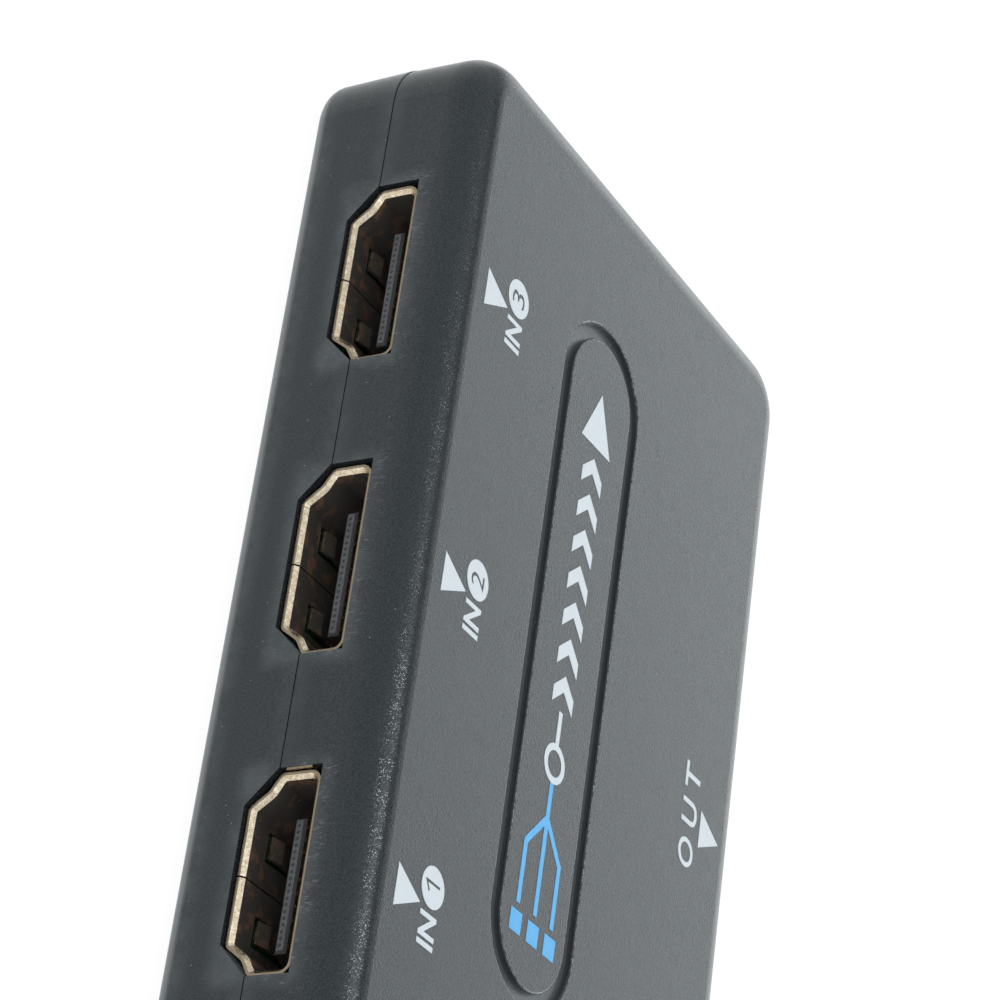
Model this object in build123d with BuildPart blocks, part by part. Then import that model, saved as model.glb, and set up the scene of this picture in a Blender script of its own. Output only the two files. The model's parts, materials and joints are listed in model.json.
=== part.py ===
from build123d import *
import os
from math import radians, tan

os.makedirs("parts", exist_ok=True)

# Frame: origin on the table under the middle of the case, +X along the row of input sockets,
# +Y towards the input sockets, +Z up out of the labelled face. All lengths are in millimetres.

# Case: its length follows from the row of sockets, its width from the sockets on both sides
end_margin = 21.5
middle_depth = 30.7
case_height = 15.5
draft_angle = 1.0
corner_radius = 5.6
top_edge_radius = 3.2
bottom_edge_radius = 1.4
wall = 1.8
roof = 1.8
floor_thickness = 1.8
seam_gap = 0.05
seam_step = 0.06
lip_height = 1.0
lip_thickness = 0.8
lip_clearance = 0.1
overrun = 1.0

# Groove round the name panel on the labelled face
groove_x = 3.2
groove_y = 3.85
groove_run = 45.2
groove_outer_width = 12.4
groove_width = 1.2
groove_depth = 0.5
groove_shoulder = 0.2

# Bare recess under the case
plate_recess_length = 44.0
plate_recess_width = 22.0
plate_recess_radius = 1.5
plate_recess_depth = 0.25

# Feet
foot_radius = 4.0
foot_thickness = 1.3
foot_seat = 0.5
foot_bevel = 0.3
foot_fit = 0.1
foot_inset_x = 15.0
foot_inset_y = 8.4

# Screws and the posts that they join
screw_radius = 1.0
screw_length = 8.0
screw_head_radius = 1.9
screw_head_height = 1.3
screw_point = 0.8
screw_slot_width = 0.5
screw_slot_span = 2.4
screw_slot_depth = 0.7
screw_inset_x = 5.7
screw_inset_y = 7.1
screw_clearance = 0.15
screw_bite = 0.03
head_sink = 0.5
head_clearance = 0.2
boss_radius = 2.9
post_radius = 2.6
prop_radius = 1.5
prop_clearance = 0.05
prop_inset_y = 11.2

# Circuit board
board_standoff = 1.84
board_thickness = 1.6
board_clearance = 0.6
pin_clearance = 0.12
pin_stub = 0.9

# Sockets: sheet metal shell with a flared mouth
socket_pitch = 24.6
rim_width = 15.3
rim_height = 5.66
rim_straight = 3.4
rim_narrow = 10.5
shoulder_in_x = 1.3
shoulder_in_z = 0.75
rim_corner = 1.0
shoulder_corner = 0.65
hollow_corner = 1.0
narrow_corner = 0.65
plate = 0.33
flare_step = 0.17
flare_length = 0.33
rim_edge = 0.22
shell_length = 11.8
mouth_recess = 0.4
shell_split = 0.14
finger_width = 1.7
finger_length = 4.6
finger_start = 2.2
finger_spacing = 6.4
finger_dip = 0.45
finger_gap = 0.3
shell_leg_width = 1.2
shell_leg_front = 4.2
shell_leg_back_gap = 1.2
shell_leg_depths = (shell_leg_front, shell_length - shell_leg_back_gap - shell_leg_width)
shell_leg_root = 1.6

# Socket insulator and its contacts
block_depth = 4.0
block_fit = 0.04
tongue_width = 10.2
tongue_thickness = 0.95
tongue_recess = 2.1
tongue_drop = 2.15
tongue_bevel = 0.2
contact_pitch = 1.0
contact_width = 0.3
contact_thickness = 0.2
contact_proud = 0.04
contact_fit = 0.03
contact_setback = 0.35
contact_tail_gap = 0.15
contact_foot = 0.9
upper_contacts = 10
lower_contacts = 9

# Openings round the sockets
opening_near = 0.06
opening_far = 0.27
opening_above = 0.12
opening_below = 0.2
opening_floor_share = 0.95

# Power inlet
jack_inset_x = 14.0
jack_width = 8.4
jack_height = 7.2
jack_length = 12.4
jack_nose_radius = 3.45
jack_nose_length = 3.4
jack_bore_radius = 2.95
jack_bore_depth = 9.4
jack_pin_radius = 1.05
jack_pin_root_radius = 1.3
jack_pin_recess = 1.3
jack_pin_tip = 0.35
jack_recess = 0.25
jack_fit = 0.15
jack_leaf_width = 1.6
jack_leaf_thickness = 0.3
jack_leaf_length = 7.0
jack_leg_width = 1.8
jack_leg_thickness = 0.5

# Select button and the switch behind it
button_inset_x = 12.0
control_height = 4.5
button_radius = 2.3
button_clearance = 0.2
button_proud = 1.1
button_edge = 0.35
button_dish = 0.25
button_flange_radius = 3.0
button_flange_thickness = 0.7
button_rest_gap = 0.2
button_stem_radius = 1.3
button_stem_length = 0.6
button_travel = 0.3
plunger_radius = 1.7
plunger_reach = 0.9
plunger_depth = 1.2
plunger_clearance = 0.1
switch_width = 6.2
switch_depth = 3.6
switch_height = 7.4
switch_well_radius = 2.4
switch_plate = 0.3
switch_leg_width = 0.8
switch_leg_spacing = 5.0
dome_radius = 2.2
dome_rise = 0.35
dome_sheet = 0.12
dome_spare = 0.25

# Status lamps
lamp_gap = 6.0
lamp_pitch = 5.0
lamp_count = 3
lamp_radius = 1.5
lamp_length = 5.2
lamp_collar_radius = 1.85
lamp_collar = 0.8
lamp_proud = 0.5
lamp_clearance = 0.1
lamp_wire = 0.45
lamp_wire_spacing = 2.0
lamp_wire_reach = 1.4

# Remote control window and receiver
window_spacing = 7.5
window_width = 6.6
window_height = 4.2
window_corner = 1.2
window_recess = 0.15
window_fit = 0.08
window_flange = 0.9
window_flange_thickness = 0.7
window_gap = 0.05
receiver_width = 5.4
receiver_height = 6.4
receiver_depth = 2.6
receiver_lens_radius = 2.1
receiver_lens_gap = 0.5
receiver_lift = 0.7
receiver_wire = 0.45
receiver_wire_spacing = 1.8

# Chips with bent leads
chip_lift = 0.15
lead_thickness = 0.15
lead_foot = 0.5
lead_run = 1.0
switch_chip_size = 10.0
switch_chip_height = 1.4
switch_lead_pitch = 0.5
switch_lead_width = 0.22
switch_leads_per_side = 16
switch_chip_share = (0.0, -0.02)
control_chip_length = 10.3
control_chip_width = 7.5
control_chip_height = 2.3
control_chip_share = (0.29, -0.02)
small_chip_length = 4.9
small_chip_width = 3.9
small_chip_height = 1.5
memory_chip_gap = 1.566
wide_lead_pitch = 1.27
wide_lead_width = 0.42
control_leads_per_side = 8
memory_leads_per_side = 4
regulator_length = 6.5
regulator_width = 3.5
regulator_height = 1.6
regulator_lead_pitch = 2.3
regulator_lead_width = 0.7
regulator_leads = 3
regulator_tab_width = 3.0
regulator_share = (-0.37, -0.12)

# Loose board parts
can_radius = 3.1
can_height = 5.2
can_base_size = 6.6
can_base_height = 0.7
can_corner = 0.8
can_edge = 0.5
can_shares = ((-0.44, 0.06), (-0.24, -0.08))
crystal_length = 11.0
crystal_width = 4.6
crystal_height = 3.4
crystal_rim = 0.35
crystal_rim_height = 0.45
crystal_edge = 0.6
crystal_share = (0.16, -0.17)
inductor_size = 5.0
inductor_height = 3.0
inductor_corner = 1.0
inductor_edge = 0.3
inductor_share = (-0.37, 0.04)
chip_part_length = 1.6
chip_part_width = 0.8
chip_part_pitch = 2.0
chip_parts_per_row = 4
resistor_height = 0.45
resistor_drop = 3.159
resistor_row_shift = 5.6
capacitor_height = 0.8
capacitor_row_shares = ((-0.13, -0.2), (0.32, -0.2))

# Sizes, heights and planes that follow from the sizes above
case_length = 2 * (socket_pitch + end_margin)
case_width = 2 * (mouth_recess + shell_length) + middle_depth
base_z = foot_thickness - foot_seat
floor_top = base_z + floor_thickness
board_bottom = floor_top + board_standoff
board_top = board_bottom + board_thickness
rim_top_z = board_top + rim_height
seam_z = rim_top_z - rim_straight
top_z = base_z + case_height
roof_bottom = top_z - roof
lower_height = seam_z - base_z
upper_start = seam_z + seam_gap
upper_height = top_z - upper_start
mouth_y = case_width / 2 - mouth_recess
board_length = case_length - 2 * (wall + board_clearance)
board_width = case_width - 2 * (wall + board_clearance)
board_corner = corner_radius - wall - board_clearance
control_z = board_top + control_height
draft = tan(radians(draft_angle))
tube_width = rim_width - 2 * flare_step

sockets = {
    "in_1": (-socket_pitch, 1),
    "in_2": (0.0, 1),
    "in_3": (socket_pitch, 1),
    "output": (0.0, -1),
}
lamp_places = [rim_width / 2 + lamp_gap + index * lamp_pitch for index in range(lamp_count)]
button_x = case_length / 2 - button_inset_x
window_x = -rim_width / 2 - window_spacing
jack_x = -(case_length / 2 - jack_inset_x)
jack_z = board_top + jack_height / 2
screw_places = GridLocations(
    case_length - 2 * screw_inset_x, case_width - 2 * screw_inset_y, 2, 2
)
foot_places = GridLocations(
    case_length - 2 * foot_inset_x, case_width - 2 * foot_inset_y, 2, 2
)
prop_places = GridLocations(socket_pitch, case_width - 2 * prop_inset_y, 2, 2)


def face_plane(x, facing, y, z):
    """A plane that looks out of a long side: X to the right from outside, Y up."""
    return Plane(origin=(x, facing * y, z), x_dir=(-facing, 0, 0), z_dir=(0, facing, 0))


def depth_plane(x, facing, y, z):
    """A plane across a long side: X runs into the case, Y up."""
    return Plane(origin=(x, facing * y, z), x_dir=(0, -facing, 0), z_dir=(-facing, 0, 0))


def outer_face(z):
    """Distance of the upper shell's outer long side from the middle at height z."""
    return case_width / 2 - seam_step - (z - seam_z) * draft


def inner_face(z):
    """Distance of the upper shell's inner long side from the middle at height z."""
    return case_width / 2 - wall - (z - seam_z) * draft


def board_spot(shares):
    """A place on the board, given as shares of its length and width."""
    return (shares[0] * board_length, shares[1] * board_width)


def socket_outline(inset):
    """Cross section of a socket, hung from the middle of its wide side."""
    half = rim_width / 2
    shoulder = (half - shoulder_in_x, -rim_straight - shoulder_in_z)
    right = [(half, 0), (half, -rim_straight), shoulder, (rim_narrow / 2, -rim_height)]
    left = [(-x, y) for x, y in reversed(right)]
    with BuildSketch() as outline:
        with BuildLine():
            Polyline(*right, *left, close=True)
        make_face()
        # From the wide side down, so that the levels still to come keep their number
        radii = (narrow_corner, hollow_corner, shoulder_corner, rim_corner)
        for level in reversed(range(len(radii))):
            fillet(outline.vertices().group_by(Axis.Y)[level], radii[level])
        if inset:
            offset(amount=-inset)
    return outline.sketch


def socket_opening():
    """Hole in the case round a socket: square above the seam, bevelled below it."""
    left = -rim_width / 2 - opening_near
    right = rim_width / 2 + opening_far
    low = -rim_height - opening_below
    low_half = opening_floor_share * rim_narrow / 2 + opening_far
    with BuildSketch() as opening:
        with BuildLine():
            Polyline(
                (left, opening_above),
                (right, opening_above),
                (right, -rim_straight),
                (low_half, low),
                (-low_half, low),
                (left, -rim_straight),
                close=True,
            )
        make_face()
    return opening.sketch


def on_plane(plane, sketch):
    """The sketch, moved from the XY plane to another plane."""
    with BuildSketch(plane) as moved:
        add(sketch)
    return moved.sketch


def disc(radius):
    """A round sketch."""
    with BuildSketch() as round_face:
        Circle(radius)
    return round_face.sketch


def window_outline(grow):
    """The remote control window's outline, grown all round."""
    with BuildSketch() as outline:
        RectangleRounded(window_width + 2 * grow, window_height + 2 * grow, window_corner + grow)
    return outline.sketch


def wall_openings():
    """Every hole through the case's long sides, as sketches on the walls."""
    half = case_width / 2
    holes = [
        on_plane(face_plane(x, facing, half, rim_top_z), mirror(socket_opening(), Plane.YZ))
        for x, facing in sockets.values()
    ]
    holes.append(on_plane(face_plane(jack_x, -1, half, jack_z), disc(jack_nose_radius + jack_fit)))
    holes.append(
        on_plane(face_plane(button_x, -1, half, control_z), disc(button_radius + button_clearance))
    )
    for x in lamp_places:
        holes.append(
            on_plane(face_plane(x, -1, half, control_z), disc(lamp_radius + lamp_clearance))
        )
    holes.append(on_plane(face_plane(window_x, -1, half, control_z), window_outline(window_fit)))
    return holes


openings = wall_openings()
seam_down = Plane(origin=(0, 0, seam_z), x_dir=(1, 0, 0), z_dir=(0, 0, -1))

# Bottom shell: a drafted tray with a lip, screw bosses and props for the board
with BuildPart() as bottom_shell:
    with BuildSketch(seam_down):
        RectangleRounded(case_length, case_width, corner_radius)
    extrude(amount=lower_height, taper=draft_angle)
    fillet(bottom_shell.faces().sort_by(Axis.Z)[0].edges(), bottom_edge_radius)
    with BuildSketch(seam_down):
        RectangleRounded(case_length - 2 * wall, case_width - 2 * wall, corner_radius - wall)
    extrude(amount=lower_height - floor_thickness, taper=draft_angle, mode=Mode.SUBTRACT)
    lip_inset = wall - lip_thickness
    with BuildSketch(Plane.XY.offset(seam_z)):
        RectangleRounded(
            case_length - 2 * lip_inset, case_width - 2 * lip_inset, corner_radius - lip_inset
        )
        RectangleRounded(
            case_length - 2 * wall,
            case_width - 2 * wall,
            corner_radius - wall,
            mode=Mode.SUBTRACT,
        )
    extrude(amount=lip_height)
    with BuildSketch(Plane.XY.offset(floor_top)):
        with screw_places:
            Circle(boss_radius)
        with prop_places:
            Circle(prop_radius)
    extrude(amount=board_standoff)
    with BuildSketch(Plane.XY.offset(base_z)):
        with screw_places:
            Circle(screw_head_radius + head_clearance)
    extrude(amount=head_sink + screw_head_height, mode=Mode.SUBTRACT)
    with BuildSketch(Plane.XY.offset(base_z)):
        with screw_places:
            Circle(screw_radius + screw_clearance)
    extrude(amount=board_bottom - base_z + overrun, mode=Mode.SUBTRACT)
    with BuildSketch(Plane.XY.offset(base_z)):
        with foot_places:
            Circle(foot_radius + foot_fit)
    extrude(amount=foot_seat, mode=Mode.SUBTRACT)
    with BuildSketch(Plane.XY.offset(base_z)):
        RectangleRounded(plate_recess_length, plate_recess_width, plate_recess_radius)
    extrude(amount=plate_recess_depth, mode=Mode.SUBTRACT)
    for hole in openings:
        extrude(hole, amount=2 * wall, both=True, mode=Mode.SUBTRACT)
bottom_shell.part.label = "bottom_shell"
export_step(bottom_shell.part, "parts/bottom_shell.step")

# Top shell: a drafted cover with a rebate over the lip, screw posts and ribs over the sockets
rib_width = rim_narrow
rib_thickness = wall
with BuildPart() as top_shell:
    with BuildSketch(Plane.XY.offset(upper_start)):
        RectangleRounded(
            case_length - 2 * seam_step, case_width - 2 * seam_step, corner_radius - seam_step
        )
    extrude(amount=upper_height, taper=draft_angle)
    fillet(top_shell.faces().sort_by(Axis.Z)[-1].edges(), top_edge_radius)
    with BuildSketch(Plane.XY.offset(upper_start)):
        RectangleRounded(case_length - 2 * wall, case_width - 2 * wall, corner_radius - wall)
    extrude(amount=upper_height - roof, taper=draft_angle, mode=Mode.SUBTRACT)
    rebate_inset = lip_inset - lip_clearance
    with BuildSketch(Plane.XY.offset(upper_start)):
        RectangleRounded(
            case_length - 2 * rebate_inset,
            case_width - 2 * rebate_inset,
            corner_radius - rebate_inset,
        )
    extrude(amount=lip_height + lip_clearance - seam_gap, mode=Mode.SUBTRACT)
    with BuildSketch(Plane.XY.offset(roof_bottom)):
        with screw_places:
            Circle(post_radius)
    extrude(amount=board_top - roof_bottom)
    with BuildSketch(Plane.XY.offset(board_top)):
        with screw_places:
            Circle(screw_radius + screw_bite)
    extrude(amount=screw_length, mode=Mode.SUBTRACT)
    with BuildSketch(Plane.XY.offset(roof_bottom)):
        for x, facing in sockets.values():
            with Locations((x, facing * (mouth_y - shell_length / 2))):
                Rectangle(rib_width, rib_thickness)
    extrude(amount=rim_top_z + prop_clearance - roof_bottom)
    with BuildSketch(Plane.XY.offset(top_z)):
        with Locations((groove_x, groove_y)):
            SlotCenterToCenter(groove_run, groove_outer_width)
            SlotCenterToCenter(
                groove_run, groove_outer_width - 2 * groove_width, mode=Mode.SUBTRACT
            )
    extrude(amount=-groove_depth, mode=Mode.SUBTRACT)
    groove_edges = top_shell.edges(Select.LAST).filter_by(GeomType.BSPLINE, reverse=True)
    fillet(groove_edges.group_by(Axis.Z)[-1], groove_shoulder)
    for hole in openings:
        extrude(hole, amount=2 * wall, both=True, mode=Mode.SUBTRACT)
top_shell.part.label = "top_shell"
export_step(top_shell.part, "parts/top_shell.step")

# Feet: soft discs let into the bottom shell
with BuildPart() as rubber_feet:
    with BuildSketch(Plane.XY):
        with foot_places:
            Circle(foot_radius)
    extrude(amount=foot_thickness)
    chamfer(rubber_feet.edges().group_by(Axis.Z)[0], foot_bevel)
rubber_feet.part.label = "rubber_feet"
export_step(rubber_feet.part, "parts/rubber_feet.step")

# Screws: driven up through the bottom shell and the board into the top shell's posts
head_z = base_z + head_sink
head_seat_z = head_z + screw_head_height
with BuildPart() as housing_screws:
    with BuildSketch(Plane.XY.offset(head_z)):
        with screw_places:
            Circle(screw_head_radius)
    extrude(amount=screw_head_height)
    with BuildSketch(Plane.XY.offset(head_seat_z)):
        with screw_places:
            Circle(screw_radius)
    extrude(amount=screw_length)
    chamfer(housing_screws.edges().group_by(Axis.Z)[-1], screw_point, length2=screw_radius / 2)
    with BuildSketch(Plane.XY.offset(head_z)):
        with screw_places:
            Rectangle(screw_slot_span, screw_slot_width)
            Rectangle(screw_slot_width, screw_slot_span)
    extrude(amount=screw_slot_depth, mode=Mode.SUBTRACT)
housing_screws.part.label = "housing_screws"
export_step(housing_screws.part, "parts/housing_screws.step")

# Sockets: for each, a folded shell with spring fingers and legs, an insulator and contacts
leg_side = tube_width / 2 - plate
leg_low = -rim_height - board_thickness - pin_stub
tongue_low = -tongue_drop - tongue_thickness
block_start = shell_length - block_depth


def contact_rows():
    """Each row's number of contacts, and the lowest and highest level of its strips."""
    upper = -tongue_drop + contact_proud
    lower = tongue_low - contact_proud
    return (
        (upper_contacts, upper - contact_thickness, upper),
        (lower_contacts, lower, lower + contact_thickness),
    )


def across(plane, count, low, high, grow):
    """A row of rectangles on a plane across the socket, one for each contact."""
    with BuildSketch(plane) as row:
        with Locations((0, (low + high) / 2)):
            with GridLocations(contact_pitch, 0, count, 1):
                Rectangle(contact_width + 2 * grow, high - low + 2 * grow)
    return row.sketch


def finger_profile(level, inward):
    """A spring finger from the side: rooted in the plate, dipping into the socket."""
    root = finger_start + finger_length
    tip = finger_start + finger_gap
    bend = finger_start + finger_length / 3
    dip = level + inward * finger_dip
    with BuildSketch() as profile:
        with BuildLine():
            Polyline(
                (root, level),
                (bend, dip),
                (tip, dip - inward * finger_dip / 2),
                (tip, dip + inward * (plate - finger_dip / 2)),
                (bend, dip + inward * plate),
                (root, level + inward * plate),
                close=True,
            )
        make_face()
    return profile.sketch


for socket, (socket_x, facing) in sockets.items():
    mouth = face_plane(socket_x, facing, mouth_y, rim_top_z)
    tube_start = mouth.offset(-flare_length)
    with BuildPart() as socket_shell:
        extrude(on_plane(tube_start, socket_outline(flare_step)), amount=flare_length - shell_length)
        loft([on_plane(tube_start, socket_outline(flare_step)), on_plane(mouth, socket_outline(0))])
        tube_bore = on_plane(tube_start, socket_outline(flare_step + plate))
        extrude(tube_bore, amount=flare_length - shell_length, mode=Mode.SUBTRACT)
        loft(
            [tube_bore, on_plane(mouth, socket_outline(rim_edge))],
            mode=Mode.SUBTRACT,
        )
        with BuildSketch(mouth):
            with Locations((0, -rim_height)):
                Rectangle(shell_split, 4 * plate)
        extrude(amount=-shell_length, mode=Mode.SUBTRACT)
        for level, inward in ((-flare_step, -1), (flare_step - rim_height, 1)):
            window = Plane.XY.offset(rim_top_z + level)
            window_y = facing * (mouth_y - finger_start - finger_length / 2)
            with BuildSketch(window):
                with Locations((socket_x, window_y)):
                    with GridLocations(finger_spacing, 0, 2, 1):
                        Rectangle(finger_width + 2 * finger_gap, finger_length)
            extrude(amount=inward * plate, mode=Mode.SUBTRACT)
            for side in (-1, 1):
                finger = depth_plane(
                    socket_x + side * finger_spacing / 2, facing, mouth_y, rim_top_z
                )
                profile = on_plane(finger, finger_profile(level, inward))
                extrude(profile, amount=finger_width / 2, both=True)
        for depth in shell_leg_depths:
            with BuildSketch(mouth.offset(-depth)):
                for side in (-1, 1):
                    with Locations((side * (leg_side + plate / 2), (leg_low - shell_leg_root) / 2)):
                        Rectangle(plate, -leg_low - shell_leg_root)
            extrude(amount=-shell_leg_width)
    socket_shell.part.label = f"{socket}_shell"
    export_step(socket_shell.part, f"parts/{socket}_shell.step")

    with BuildPart() as insulator:
        block_plane = mouth.offset(-block_start)
        block_outline = socket_outline(flare_step + plate + block_fit)
        extrude(on_plane(block_plane, block_outline), amount=-block_depth)
        with BuildSketch(mouth.offset(-tongue_recess)):
            with Locations((0, -tongue_drop - tongue_thickness / 2)):
                Rectangle(tongue_width, tongue_thickness)
        extrude(amount=tongue_recess - block_start)
        tongue_front = insulator.faces().filter_by(Axis.Y).sort_by(Axis.Y)[-1 if facing > 0 else 0]
        chamfer(tongue_front.edges(), tongue_bevel)
        groove_start = tongue_recess + contact_setback - contact_fit
        for count, low, high in contact_rows():
            grooves = across(mouth.offset(-groove_start), count, low, high, contact_fit)
            extrude(grooves, amount=groove_start - shell_length - overrun, mode=Mode.SUBTRACT)
    insulator.part.label = f"{socket}_insulator"
    export_step(insulator.part, f"parts/{socket}_insulator.step")

    with BuildPart() as contacts:
        strip_start = tongue_recess + contact_setback
        tail_start = shell_length + contact_tail_gap
        for count, low, high in contact_rows():
            strips = across(mouth.offset(-strip_start), count, low, high, 0)
            extrude(strips, amount=strip_start - tail_start - contact_thickness)
            tails = across(mouth.offset(-tail_start), count, -rim_height, high, 0)
            extrude(tails, amount=-contact_thickness)
            foot_level = contact_thickness - rim_height
            feet = across(mouth.offset(-tail_start), count, -rim_height, foot_level, 0)
            extrude(feet, amount=-contact_thickness - contact_foot)
    contacts.part.label = f"{socket}_contacts"
    export_step(contacts.part, f"parts/{socket}_contacts.step")

# Power inlet: a barrel socket with a centre pin and a leaf spring
jack_front = face_plane(jack_x, -1, case_width / 2 - jack_recess, jack_z)
jack_low = -jack_height / 2 - board_thickness - pin_stub
leaf_level = -jack_bore_radius - jack_leaf_thickness
with BuildPart() as dc_jack_body:
    with BuildSketch(jack_front.offset(-jack_nose_length)):
        Rectangle(jack_width, jack_height)
    extrude(amount=jack_nose_length - jack_length)
    with BuildSketch(jack_front):
        Circle(jack_nose_radius)
    extrude(amount=-jack_nose_length)
    with BuildSketch(jack_front):
        Circle(jack_bore_radius)
    extrude(amount=-jack_bore_depth, mode=Mode.SUBTRACT)
    with BuildSketch(jack_front.offset(-jack_bore_depth)):
        Circle(jack_pin_root_radius)
    extrude(amount=jack_bore_depth - jack_length, mode=Mode.SUBTRACT)
    with BuildSketch(jack_front.offset(-jack_nose_length)):
        with Locations((0, leaf_level + jack_bore_radius / 2)):
            Rectangle(jack_leaf_width + 2 * pin_clearance, jack_bore_radius)
    extrude(amount=-jack_leaf_length - pin_clearance, mode=Mode.SUBTRACT)
    with BuildSketch(jack_front.offset(-jack_nose_length)):
        with Locations((0, -jack_height / 4)):
            Rectangle(jack_leaf_width + 2 * pin_clearance, jack_height / 2)
    extrude(amount=-jack_leg_thickness - 2 * pin_clearance, mode=Mode.SUBTRACT)
dc_jack_body.part.label = "dc_jack_body"
export_step(dc_jack_body.part, "parts/dc_jack_body.step")

with BuildPart() as dc_jack_pin:
    with BuildSketch(jack_front.offset(-jack_pin_recess)):
        Circle(jack_pin_radius)
    extrude(amount=jack_pin_recess - jack_bore_depth)
    chamfer(dc_jack_pin.edges().group_by(Axis.Y)[0], jack_pin_tip)
    with BuildSketch(jack_front.offset(-jack_bore_depth)):
        Circle(jack_pin_root_radius)
    extrude(amount=jack_bore_depth - jack_length)
    with BuildSketch(jack_front.offset(-jack_length)):
        with Locations((0, (jack_low + jack_pin_root_radius) / 2)):
            Rectangle(jack_leg_width, jack_pin_root_radius - jack_low)
    extrude(amount=-jack_leg_thickness)
dc_jack_pin.part.label = "dc_jack_pin"
export_step(dc_jack_pin.part, "parts/dc_jack_pin.step")

with BuildPart() as dc_jack_spring:
    leaf_depth = jack_nose_length + pin_clearance
    with BuildSketch(jack_front.offset(-leaf_depth)):
        with Locations((0, leaf_level + jack_leaf_thickness / 2)):
            Rectangle(jack_leaf_width, jack_leaf_thickness)
    extrude(amount=pin_clearance - jack_leaf_length)
    with BuildSketch(jack_front.offset(-leaf_depth)):
        with Locations((0, (jack_low + leaf_level + jack_leaf_thickness) / 2)):
            Rectangle(jack_leaf_width, leaf_level + jack_leaf_thickness - jack_low)
    extrude(amount=-jack_leg_thickness)
dc_jack_spring.part.label = "dc_jack_spring"
export_step(dc_jack_spring.part, "parts/dc_jack_spring.step")

# Select button: a dished cap with a flange behind the wall and a stem to the switch
flange_front = inner_face(control_z + button_flange_radius) - button_rest_gap
flange_back = flange_front - button_flange_thickness
cap_front = outer_face(control_z) + button_proud
stem_end = flange_back - button_stem_length
with BuildPart() as select_button:
    with BuildSketch(face_plane(button_x, -1, cap_front, control_z)):
        Circle(button_radius)
    extrude(amount=flange_back - cap_front)
    rim_edge = select_button.edges().group_by(Axis.Y)[0]
    fillet(rim_edge, button_edge)
    with BuildSketch(face_plane(button_x, -1, flange_front, control_z)):
        Circle(button_flange_radius)
    extrude(amount=-button_flange_thickness)
    with BuildSketch(face_plane(button_x, -1, flange_back, control_z)):
        Circle(button_stem_radius)
    extrude(amount=-button_stem_length)
    dish_radius = (button_radius**2 + button_dish**2) / (2 * button_dish)
    with Locations((button_x, -cap_front + button_dish - dish_radius, control_z)):
        Sphere(dish_radius, mode=Mode.SUBTRACT)
select_button.part.label = "select_button"
export_step(select_button.part, "parts/select_button.step")

# Switch behind the button: its plunger moves with the button
plunger_start = stem_end
switch_front = plunger_start - plunger_reach
plunger_end = switch_front - plunger_depth
dome_crown = plunger_end - button_travel - dome_spare
well_floor = dome_crown - dome_rise - dome_sheet
with BuildPart() as switch_plunger:
    with BuildSketch(face_plane(button_x, -1, plunger_start, control_z)):
        Circle(plunger_radius)
    extrude(amount=plunger_end - plunger_start)
switch_plunger.part.label = "switch_plunger"
export_step(switch_plunger.part, "parts/switch_plunger.step")

with BuildPart() as switch_body:
    with BuildSketch(face_plane(button_x, -1, switch_front - switch_plate, board_top)):
        Rectangle(switch_width, switch_height, align=(Align.CENTER, Align.MIN))
    extrude(amount=switch_plate - switch_depth)
    with BuildSketch(face_plane(button_x, -1, switch_front, control_z)):
        Circle(switch_well_radius)
    extrude(amount=well_floor - switch_front, mode=Mode.SUBTRACT)
switch_body.part.label = "switch_body"
export_step(switch_body.part, "parts/switch_body.step")

# Switch cover: a folded frame with two legs through the board
with BuildPart() as switch_cover:
    with BuildSketch(face_plane(button_x, -1, switch_front, board_top)):
        Rectangle(switch_width, switch_height, align=(Align.CENTER, Align.MIN))
        with Locations((0, control_height)):
            Circle(plunger_radius + plunger_clearance, mode=Mode.SUBTRACT)
    extrude(amount=-switch_plate)
    with BuildSketch(face_plane(button_x, -1, switch_front, board_top)):
        with GridLocations(switch_leg_spacing, 0, 2, 1):
            Rectangle(switch_leg_width, board_thickness + pin_stub, align=(Align.CENTER, Align.MAX))
    extrude(amount=-switch_plate)
switch_cover.part.label = "switch_cover"
export_step(switch_cover.part, "parts/switch_cover.step")

# Snap dome at the bottom of the switch's well, drawn as it lies when pressed
dome_ball = (dome_radius**2 + dome_rise**2) / (2 * dome_rise)


def dome_depth(height):
    """Depth of the dome's face behind its crown, at a height above its axis."""
    return dome_ball - (dome_ball**2 - height**2) ** 0.5


with BuildPart() as switch_dome:
    with BuildSketch(depth_plane(button_x, -1, dome_crown, control_z)):
        with BuildLine():
            middle = dome_radius / 2
            ThreePointArc((0, 0), (dome_depth(middle), middle), (dome_rise, dome_radius))
            Line((dome_rise, dome_radius), (dome_rise + dome_sheet, dome_radius))
            ThreePointArc(
                (dome_rise + dome_sheet, dome_radius),
                (dome_depth(middle) + dome_sheet, middle),
                (dome_sheet, 0),
            )
            Line((dome_sheet, 0), (0, 0))
        make_face()
    revolve(axis=Axis((button_x, 0, control_z), (0, 1, 0)))
switch_dome.part.label = "switch_dome"
export_step(switch_dome.part, "parts/switch_dome.step")

# Status lamps: domed lamps that lie on their wires, tips through the wall
lamp_tip = outer_face(control_z) + lamp_proud
lamp_back = lamp_tip - lamp_length - lamp_collar
wire_low = board_bottom - pin_stub - control_z
with BuildPart() as status_lamps:
    for x in lamp_places:
        with BuildSketch(face_plane(x, -1, lamp_tip - lamp_radius, control_z)):
            Circle(lamp_radius)
        extrude(amount=lamp_radius - lamp_length)
        with BuildSketch(face_plane(x, -1, lamp_back, control_z)):
            Circle(lamp_collar_radius)
        extrude(amount=lamp_collar)
        with Locations((x, lamp_radius - lamp_tip, control_z)):
            Sphere(lamp_radius)
status_lamps.part.label = "status_lamps"
export_step(status_lamps.part, "parts/status_lamps.step")

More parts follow.
